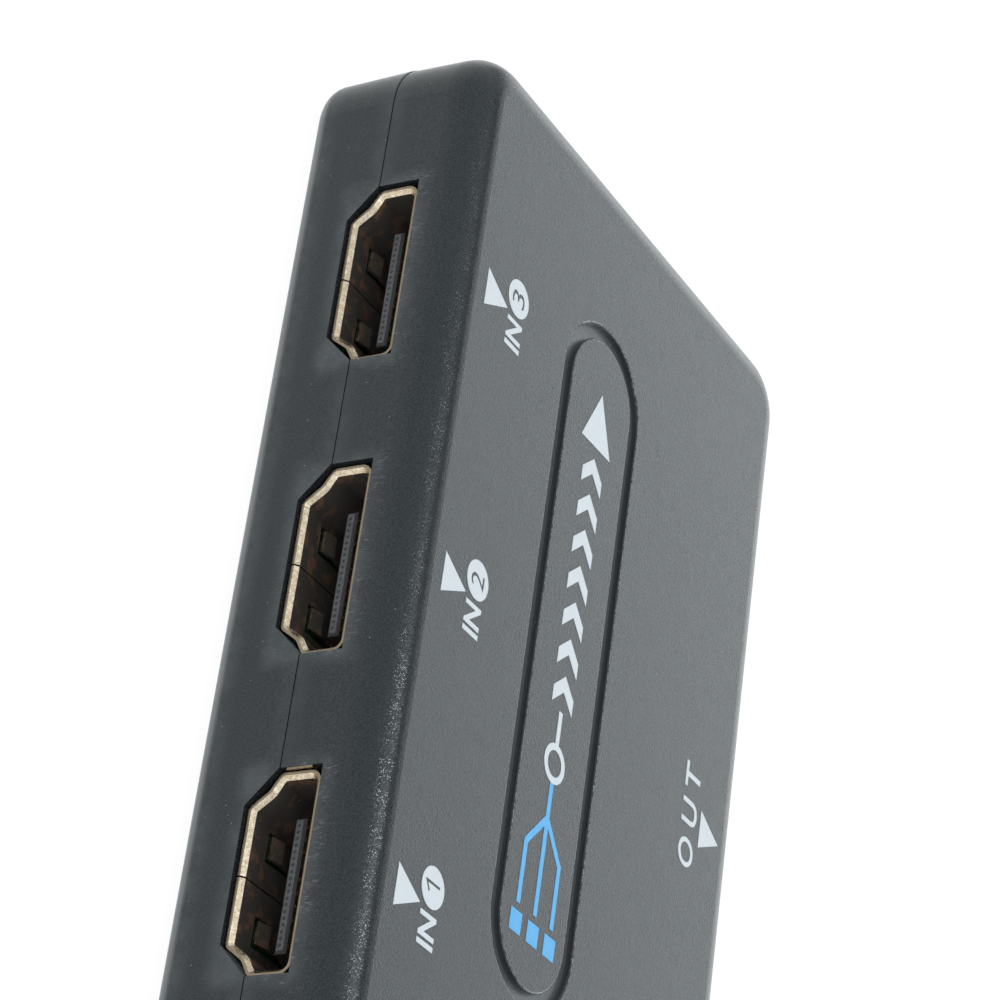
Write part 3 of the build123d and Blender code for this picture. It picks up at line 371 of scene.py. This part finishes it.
looks = {
    "case_black": case_look(),
    "gold_plate": gold_look(),
    "socket_black": insulator_look(),
    "board_green": board_look(),
    "ink_white": ink_look("ink_white_print", (0.62, 0.67, 0.71)),
    "ink_blue": ink_look("ink_blue_print", (0.1, 0.42, 0.78)),
    "foot_rubber": simple_look("foot_rubber_soft", (0.025, 0.025, 0.026), 0.8, 0.25, 0.03),
    "screw_steel": simple_look(
        "screw_black_zinc", (0.14, 0.14, 0.145), 0.38, 0.15, 0.004, Metallic=1.0
    ),
    "contact_gold": simple_look(
        "contact_plating", (0.9, 0.66, 0.32), 0.25, 0.1, 0.002, Metallic=1.0
    ),
    "jack_black": simple_look("jack_moulding", (0.022, 0.022, 0.023), 0.42, 0.2, 0.01, IOR=1.5),
    "tinned_metal": simple_look(
        "tinned_brass", (0.74, 0.73, 0.71), 0.3, 0.12, 0.004, Metallic=1.0
    ),
    "button_black": simple_look("button_satin", (0.03, 0.03, 0.032), 0.32, 0.3, 0.008, IOR=1.5),
    "plunger_white": simple_look("plunger_moulding", (0.75, 0.75, 0.73), 0.45, 0.3, 0.01),
    "switch_base_black": simple_look("switch_moulding", (0.025, 0.025, 0.026), 0.5, 0.2, 0.015),
    "switch_frame_steel": simple_look(
        "switch_steel", (0.62, 0.61, 0.6), 0.3, 0.15, 0.004, Metallic=1.0
    ),
    "lamp_red": simple_look(
        "lamp_resin",
        (0.6, 0.035, 0.03),
        0.14,
        0.6,
        0.004,
        spread=0.04,
        Transmission_Weight=0.55,
        Coat_Weight=0.5,
    ),
    "window_dark_red": simple_look(
        "window_tinted", (0.035, 0.003, 0.005), 0.1, 0.8, 0.003, spread=0.03, Coat_Weight=0.6
    ),
    "receiver_black": simple_look(
        "receiver_resin", (0.018, 0.018, 0.022), 0.2, 0.4, 0.004, Coat_Weight=0.3
    ),
    "chip_black": simple_look("chip_moulding", (0.03, 0.03, 0.031), 0.55, 0.15, 0.012),
    "can_aluminium": simple_look(
        "can_drawn_aluminium", (0.78, 0.78, 0.79), 0.28, 0.2, 0.004, Metallic=1.0
    ),
    "crystal_steel": simple_look(
        "crystal_nickel", (0.66, 0.64, 0.6), 0.24, 0.2, 0.003, Metallic=1.0
    ),
    "ferrite_grey": simple_look("ferrite_moulding", (0.08, 0.08, 0.085), 0.6, 0.2, 0.02),
    "resistor_ceramic": simple_look("resistor_glaze", (0.03, 0.03, 0.032), 0.35, 0.2, 0.006),
    "capacitor_ceramic": simple_look("capacitor_fired", (0.42, 0.3, 0.18), 0.55, 0.15, 0.01),
}

slot_of = {part["node"]: part["material_slot"] for part in frame["record"]["subparts"]}
for name, node in frame["nodes"].items():
    node.data.materials.clear()
    node.data.materials.append(looks[slot_of[name]])

# Sheet metal with edges rounded by tumbling and plating
EDGE_ROUNDING = 0.035
SHARP_ANGLE = 28
for socket_name, *_ in SOCKETS:
    rounding = frame["nodes"][f"{socket_name}_shell"].modifiers.new("rounded_edges", "BEVEL")
    rounding.width = EDGE_ROUNDING * MM
    rounding.segments = 2
    rounding.limit_method = "ANGLE"
    rounding.angle_limit = math.radians(SHARP_ANGLE)
    rounding.use_clamp_overlap = True

# Printed marks: thin plates of ink on the labelled face, with numerals cut out of the discs
INK_LOW = CASE_TOP - 0.01
INK_HIGH = CASE_TOP + 0.02
CUTTER_REACH = 0.4

# Labels of the inputs: places in x count from the middle of each label
LABEL_PITCH = 24.5
LABEL_MIDDLE_X = -0.1
TRIANGLE_SHIFT = 0.45
TRIANGLE_HALF = 1.62
TRIANGLE_BASE_Y, TRIANGLE_TIP_Y = 22.85, 19.51
WORD_LEFT, WORD_RIGHT = -2.4, 0.1
WORD_LOW_Y, WORD_HIGH_Y = 17.05, 19.3
WORD_WEIGHT = 0.025
DISC_SHIFT = 2.11
DISC_Y = 18.1
DISC_RADIUS = 1.56
NUMERAL_HALF_HEIGHT = 0.92
NARROW_NUMERAL_HALF, WIDE_NUMERAL_HALF = 0.4, 0.6

# The numeral 1: a stem with a slanting flag at its top
NUMERAL_STROKE = 0.22
STEM_INSET = 0.12
FLAG_DROP = 0.45


def plate_into(bm, outline, low=INK_LOW, high=INK_HIGH):
    """Adds a flat plate with the given outline, in millimetres, to the mesh."""
    bottom = [bm.verts.new((x * MM, y * MM, low * MM)) for x, y in outline]
    top = [bm.verts.new((x * MM, y * MM, high * MM)) for x, y in outline]
    count = len(outline)
    bm.faces.new(reversed(bottom))
    bm.faces.new(top)
    for i in range(count):
        j = (i + 1) % count
        bm.faces.new((bottom[i], bottom[j], top[j], top[i]))


def round_outline(middle, radius, count=72):
    return [
        (
            middle[0] + radius * math.cos(2 * math.pi * i / count),
            middle[1] + radius * math.sin(2 * math.pi * i / count),
        )
        for i in range(count)
    ]


def ring_into(bm, middle, outer, inner, count=72):
    """Adds a flat ring to the mesh."""
    rims = []
    for radius in (outer, inner):
        for height in (INK_LOW, INK_HIGH):
            places = round_outline(middle, radius, count)
            rims.append([bm.verts.new((x * MM, y * MM, height * MM)) for x, y in places])
    outer_low, outer_high, inner_low, inner_high = rims
    for i in range(count):
        j = (i + 1) % count
        bm.faces.new((outer_low[i], outer_low[j], outer_high[j], outer_high[i]))
        bm.faces.new((inner_low[j], inner_low[i], inner_high[i], inner_high[j]))
        bm.faces.new((outer_high[i], outer_high[j], inner_high[j], inner_high[i]))
        bm.faces.new((outer_low[j], outer_low[i], inner_low[i], inner_low[j]))


def bar_outline(points, width):
    """Outline of a bar of steady width along a bent line, with mitred bends."""
    sides = ([], [])
    last = len(points) - 1
    for i, point in enumerate(points):
        here = Vector(point)
        before = (here - Vector(points[i - 1])).normalized() if i > 0 else None
        after = (Vector(points[i + 1]) - here).normalized() if i < last else None
        if before is None:
            before = after
        if after is None:
            after = before
        normal = Vector((-(before + after).y, (before + after).x)).normalized()
        reach = width / 2 / normal.dot(Vector((-before.y, before.x)))
        sides[0].append(tuple(here + normal * reach))
        sides[1].append(tuple(here - normal * reach))
    return sides[1] + sides[0][::-1]


def mesh_object(name, bm):
    bmesh.ops.recalc_face_normals(bm, faces=bm.faces)
    data = bpy.data.meshes.new(name)
    bm.to_mesh(data)
    bm.free()
    made = bpy.data.objects.new(name, data)
    bpy.context.scene.collection.objects.link(made)
    return made


def lettering_into(bm, words, corners, weight, low=INK_LOW, high=INK_HIGH):
    """Adds plain lettering that fills the given box, in millimetres, to the mesh."""
    curve = bpy.data.curves.new("lettering", "FONT")
    curve.body = words
    curve.size = 1.0
    curve.extrude = 0.5
    curve.offset = weight
    curve.resolution_u = 8
    carrier = bpy.data.objects.new("lettering", curve)
    bpy.context.scene.collection.objects.link(carrier)
    bpy.context.view_layer.update()
    shaped = carrier.evaluated_get(bpy.context.evaluated_depsgraph_get())
    data = bpy.data.meshes.new_from_object(shaped)
    places = [v.co for v in data.vertices]
    x0, x1 = min(p.x for p in places), max(p.x for p in places)
    y0, y1 = min(p.y for p in places), max(p.y for p in places)
    left, bottom, right, top = corners
    for p in places:
        p.x = (left + (p.x - x0) / (x1 - x0) * (right - left)) * MM
        p.y = (bottom + (p.y - y0) / (y1 - y0) * (top - bottom)) * MM
        p.z = (low if p.z < 0 else high) * MM
    bm.from_mesh(data)
    bpy.data.objects.remove(carrier)
    bpy.data.curves.remove(curve)
    bpy.data.meshes.remove(data)
    bmesh.ops.remove_doubles(bm, verts=bm.verts, dist=0.0004 * MM)


def housing_piece(name, bm, slot):
    """Makes the mesh a piece that rides on the case, with the look of the given slot."""
    piece = mesh_object(name, bm)
    piece.data.materials.append(looks[slot])
    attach(piece, HOUSING)
    return piece


def cut_numeral(piece, numeral, corners):
    """Cuts a numeral out of a printed piece, so that the case shows through."""
    bm = bmesh.new()
    low, high = CASE_TOP - CUTTER_REACH, CASE_TOP + CUTTER_REACH
    if numeral == "1":
        left, bottom, right, top = corners
        stem_x = right - STEM_INSET
        one_line = [(left, top - FLAG_DROP), (stem_x, top), (stem_x, bottom)]
        plate_into(bm, bar_outline(one_line, NUMERAL_STROKE), low, high)
    else:
        lettering_into(bm, numeral, corners, 0.0, low, high)
    cutter = mesh_object("numeral_cutter", bm)
    knife = piece.modifiers.new("numeral", "BOOLEAN")
    knife.operation = "DIFFERENCE"
    knife.solver = "EXACT"
    knife.object = cutter
    bpy.context.view_layer.update()
    shaped = piece.evaluated_get(bpy.context.evaluated_depsgraph_get())
    data = bpy.data.meshes.new_from_object(shaped)
    data.name = piece.name
    piece.modifiers.clear()
    old = piece.data
    piece.data = data
    bpy.data.meshes.remove(old)
    bpy.data.objects.remove(cutter)


for number in (1, 2, 3):
    middle_x = LABEL_MIDDLE_X + (number - 2) * LABEL_PITCH
    tip_x = middle_x + TRIANGLE_SHIFT
    triangle = [
        (tip_x - TRIANGLE_HALF, TRIANGLE_BASE_Y),
        (tip_x + TRIANGLE_HALF, TRIANGLE_BASE_Y),
        (tip_x, TRIANGLE_TIP_Y),
    ]
    bm = bmesh.new()
    plate_into(bm, triangle)
    housing_piece(f"print_triangle_{number}", bm, "ink_white")

    word_box = (middle_x + WORD_LEFT, WORD_LOW_Y, middle_x + WORD_RIGHT, WORD_HIGH_Y)
    bm = bmesh.new()
    lettering_into(bm, "IN", word_box, WORD_WEIGHT)
    housing_piece(f"print_in_{number}", bm, "ink_white")

    disc_x = middle_x + DISC_SHIFT
    bm = bmesh.new()
    plate_into(bm, round_outline((disc_x, DISC_Y), DISC_RADIUS))
    disc = housing_piece(f"print_disc_{number}", bm, "ink_white")
    half_width = NARROW_NUMERAL_HALF if number == 1 else WIDE_NUMERAL_HALF
    numeral_box = (
        disc_x - half_width,
        DISC_Y - NUMERAL_HALF_HEIGHT,
        disc_x + half_width,
        DISC_Y + NUMERAL_HALF_HEIGHT,
    )
    cut_numeral(disc, str(number), numeral_box)

# Each letter of OUT with its left and right end
OUT_LETTERS = (("O", -4.9, -2.45), ("U", -1.3, 0.8), ("T", 1.75, 3.95))
OUT_LOW_Y, OUT_HIGH_Y = -19.45, -16.9
OUT_WEIGHT = 0.012
OUT_TRIANGLE = [(-2.42, -20.15), (0.82, -20.15), (-0.8, -23.55)]
bm = bmesh.new()
for letter, left, right in OUT_LETTERS:
    lettering_into(bm, letter, (left, OUT_LOW_Y, right, OUT_HIGH_Y), OUT_WEIGHT)
housing_piece("print_out", bm, "ink_white")
bm = bmesh.new()
plate_into(bm, OUT_TRIANGLE)
housing_piece("print_triangle_out", bm, "ink_white")

# Panel design: three lines that join and run on as one row of chevrons
PANEL_Y = PANEL_MIDDLE[1]
LINE_SPACING = 2.6
LINE_WIDTH = 0.55
PAD_LEFT, PAD_RIGHT = -20.9, -19.2
PAD_WIDTH = 1.7
LINES_LEFT, LINES_RIGHT = -18.6, -7.8
BEND_X, JOIN_X = -13.6, -11.0
bm = bmesh.new()
for row in (-1, 0, 1):
    row_y = PANEL_Y + row * LINE_SPACING
    plate_into(bm, bar_outline([(PAD_LEFT, row_y), (PAD_RIGHT, row_y)], PAD_WIDTH))
    if row == 0:
        plate_into(bm, bar_outline([(LINES_LEFT, row_y), (LINES_RIGHT, row_y)], LINE_WIDTH))
        continue
    edge_y = PANEL_Y + row * LINE_WIDTH / 2
    bend, end = Vector((BEND_X, row_y)), Vector((JOIN_X, edge_y))
    outline = bar_outline([(LINES_LEFT, row_y), bend, end], LINE_WIDTH)
    # The slanting end is cut along the middle line's edge
    half_cut = LINE_WIDTH / 2 / abs((end - bend).normalized().y)
    middle_pair = len(outline) // 2
    outline[middle_pair - 1] = (end.x - row * half_cut, edge_y)
    outline[middle_pair] = (end.x + row * half_cut, edge_y)
    plate_into(bm, outline)
housing_piece("print_panel_lines", bm, "ink_blue")

RING_X = -6.2
RING_OUTER, RING_INNER = 1.6, 1.05
LINK_RIGHT = -1.9
CHEVRON_COUNT = 7
CHEVRON_LEFT = -1.6
CHEVRON_PITCH = 3.2
CHEVRON_HALF = 1.6
CHEVRON_WIDTH = 1.35
CHEVRON_SLANT = 1.4
ARROW_LEFT, ARROW_TIP = 21.4, 26.2
ARROW_HALF = 2.4
bm = bmesh.new()
ring_into(bm, (RING_X, PANEL_Y), RING_OUTER, RING_INNER)
plate_into(bm, bar_outline([(RING_X + RING_OUTER, PANEL_Y), (LINK_RIGHT, PANEL_Y)], LINE_WIDTH))
for index in range(CHEVRON_COUNT):
    left = CHEVRON_LEFT + index * CHEVRON_PITCH
    chevron = [
        (left, PANEL_Y - CHEVRON_HALF),
        (left + CHEVRON_WIDTH, PANEL_Y - CHEVRON_HALF),
        (left + CHEVRON_WIDTH + CHEVRON_SLANT, PANEL_Y),
        (left + CHEVRON_WIDTH, PANEL_Y + CHEVRON_HALF),
        (left, PANEL_Y + CHEVRON_HALF),
        (left + CHEVRON_SLANT, PANEL_Y),
    ]
    plate_into(bm, chevron)
arrow = [
    (ARROW_LEFT, PANEL_Y - ARROW_HALF),
    (ARROW_TIP, PANEL_Y),
    (ARROW_LEFT, PANEL_Y + ARROW_HALF),
]
plate_into(bm, arrow)
housing_piece("print_panel_arrow", bm, "ink_white")

# Contact ends: a row of small dark studs in the front of each socket's tongue
CONTACT_PITCH = 0.5
CONTACT_COUNT = 19
CONTACT_END_Z = 9.03
CONTACT_END_RADIUS = 0.17
CONTACT_END_TAPER = 0.6
CONTACT_END_HEIGHT = 0.05
for socket_name, socket_x, facing in SOCKETS:
    bm = bmesh.new()
    for i in range(CONTACT_COUNT):
        x = socket_x + (i - (CONTACT_COUNT - 1) / 2) * CONTACT_PITCH
        place = Matrix.Translation((x * MM, facing * TONGUE_FRONT_Y * MM, CONTACT_END_Z * MM))
        bmesh.ops.create_cone(
            bm,
            cap_ends=True,
            segments=12,
            radius1=CONTACT_END_RADIUS * MM,
            radius2=CONTACT_END_RADIUS * CONTACT_END_TAPER * MM,
            depth=CONTACT_END_HEIGHT * MM,
            matrix=place @ Matrix.Rotation(-facing * math.pi / 2, 4, "X"),
        )
    housing_piece(f"contact_ends_{socket_name}", bm, "switch_base_black")

# Spring tab beside the first input's shell, bent in to it at the back
SHELL_SIDE_X = -SOCKET_PITCH + SOCKET_HALF_WIDTH
TAB_LOW, TAB_HIGH = 8.85, 10.95
TAB_THICKNESS = 0.16
TAB_FRONT_GAP, TAB_BACK_GAP = 0.17, 0.06
TAB_FRONT_Y, TAB_BEND_Y, TAB_BACK_Y = 27.42, 26.2, 25.6
tab_line = [
    (SHELL_SIDE_X + TAB_FRONT_GAP, TAB_FRONT_Y),
    (SHELL_SIDE_X + TAB_FRONT_GAP, TAB_BEND_Y),
    (SHELL_SIDE_X + TAB_BACK_GAP, TAB_BACK_Y),
]
bm = bmesh.new()
plate_into(bm, bar_outline(tab_line, TAB_THICKNESS), TAB_LOW, TAB_HIGH)
housing_piece("spring_tab_in_1", bm, "gold_plate")

# Floor: pale, with a white glow that only the camera, gloss and glass see. Its share is less
# than one, so that the object's shadow stays.
FLOOR_HALF = 2.5
FLOOR_GLOW = 1.07
GLOW_SHARE = 0.9
bm = bmesh.new()
bmesh.ops.create_grid(bm, x_segments=2, y_segments=2, size=FLOOR_HALF)
floor = mesh_object("floor", bm)
floor_look = Look("floor_pale", Roughness=0.9)
floor_look.set("Base Color", (0.88, 0.88, 0.88, 1))
paths = floor_look.node("ShaderNodeLightPath")
seen = floor_look.math("MAXIMUM", paths.outputs["Is Camera Ray"], paths.outputs["Is Glossy Ray"])
seen = floor_look.math("MAXIMUM", seen, paths.outputs["Is Transmission Ray"])
white = floor_look.node("ShaderNodeEmission", {"Strength": FLOOR_GLOW})
mixed = floor_look.node("ShaderNodeMixShader", {0: floor_look.product(seen, GLOW_SHARE)})
floor_look.put(mixed.inputs[1], floor_look.shader.outputs[0])
floor_look.put(mixed.inputs[2], white.outputs[0])
result = floor_look.tree.nodes["Material Output"]
floor_look.put(result.inputs["Surface"], mixed.outputs[0])
floor.data.materials.append(floor_look.material)

# World: the light of a room for the object, and plain white for the camera
world = bpy.data.worlds.new("studio")
bpy.context.scene.world = world
world.use_nodes = True
tree = world.node_tree
sky = tree.nodes["Background"]
sky.inputs["Color"].default_value = (0.95, 0.985, 1.0, 1)
direction = tree.nodes.new("ShaderNodeTexCoord")
parts = tree.nodes.new("ShaderNodeSeparateXYZ")
tree.links.new(direction.outputs["Generated"], parts.inputs[0])
toward_x, toward_y, toward_z = parts.outputs


def sky_ramp(source, low, high, start, end):
    """A smooth step of the sky's light between two directions."""
    step = tree.nodes.new("ShaderNodeMapRange")
    step.interpolation_type = "SMOOTHSTEP"
    for value, socket in ((low, 1), (high, 2), (start, 3), (end, 4)):
        step.inputs[socket].default_value = value
    tree.links.new(source, step.inputs[0])
    return step.outputs[0]


def sky_math(operation, first, second):
    step = tree.nodes.new("ShaderNodeMath")
    step.operation = operation
    tree.links.new(first, step.inputs[0])
    tree.links.new(second, step.inputs[1])
    return step.outputs[0]


# A room that is dim on the output side. There a bright window stands low, with a dim band over
# it. The ceiling is bright but dim towards input 3, and it ends before the window.
room = sky_ramp(toward_y, -0.38, -0.12, 0.28, 0.88)
window_side = sky_ramp(toward_y, -0.6, -0.45, 1.75, 0.0)
window_top = sky_ramp(toward_z, 0.53, 0.58, 1.0, 0.0)
level = sky_math("ADD", room, sky_math("MULTIPLY", window_side, window_top))
ceiling = sky_ramp(toward_x, 0.34, 0.5, 0.7, -0.4)
overhead = sky_ramp(toward_z, 0.76, 0.86, 0.0, 1.0)
ceiling = sky_math("MULTIPLY", ceiling, overhead)
ceiling_end = sky_ramp(toward_y, -0.3, -0.1, 0.0, 1.0)
level = sky_math("ADD", level, sky_math("MULTIPLY", ceiling, ceiling_end))
tree.links.new(level, sky.inputs["Strength"])
backdrop = tree.nodes.new("ShaderNodeBackground")
rays = tree.nodes.new("ShaderNodeLightPath")
choice = tree.nodes.new("ShaderNodeMixShader")
tree.links.new(rays.outputs["Is Camera Ray"], choice.inputs[0])
tree.links.new(sky.outputs[0], choice.inputs[1])
tree.links.new(backdrop.outputs[0], choice.inputs[2])
backdrop.inputs["Color"].default_value = (1, 1, 1, 1)
tree.links.new(choice.outputs[0], tree.nodes["World Output"].inputs["Surface"])


def softbox(name, toward, distance, size, brightness):
    """A soft square lamp that faces the object from the given direction."""
    lamp = bpy.data.lights.new(name, "AREA")
    lamp.shape = "SQUARE"
    lamp.size = size
    lamp.energy = brightness * math.pi * size * size
    holder = bpy.data.objects.new(name, lamp)
    bpy.context.scene.collection.objects.link(holder)
    away = Vector(toward).normalized()
    holder.location = away * distance
    holder.rotation_euler = away.to_track_quat("Z", "Y").to_euler()
    holder.visible_camera = False


softbox("softbox_overhead", toward=(0.22, -0.08, 0.97), distance=0.8, size=0.16, brightness=10.0)

# Camera at the photograph's place, with what is right, down and ahead of it there
CAMERA_RIGHT = Vector((0.12510756, -0.47326619, 0.87199038))
CAMERA_DOWN = Vector((-0.86810317, -0.47774593, -0.13474314))
CAMERA_AHEAD = Vector((0.48035922, -0.74012022, -0.47061351))
CAMERA_PLACE = Vector((-118.737, 214.389, 142.030)) * MM
SENSOR_WIDTH = 36.0
LENS_LENGTH = 128.87
CLIP_NEAR, CLIP_FAR = 0.005, 20.0
camera_data = bpy.data.cameras.new("camera")
camera_data.sensor_fit = "HORIZONTAL"
camera_data.sensor_width = SENSOR_WIDTH
camera_data.lens = LENS_LENGTH
camera_data.clip_start = CLIP_NEAR
camera_data.clip_end = CLIP_FAR
camera = bpy.data.objects.new("camera", camera_data)
bpy.context.scene.collection.objects.link(camera)
turn = Matrix((CAMERA_RIGHT, -CAMERA_DOWN, -CAMERA_AHEAD)).transposed()
camera.matrix_world = Matrix.Translation(CAMERA_PLACE) @ turn.to_4x4()
bpy.context.scene.camera = camera
bpy.context.scene.view_settings.view_transform = "Standard"

bpy.context.view_layer.update()
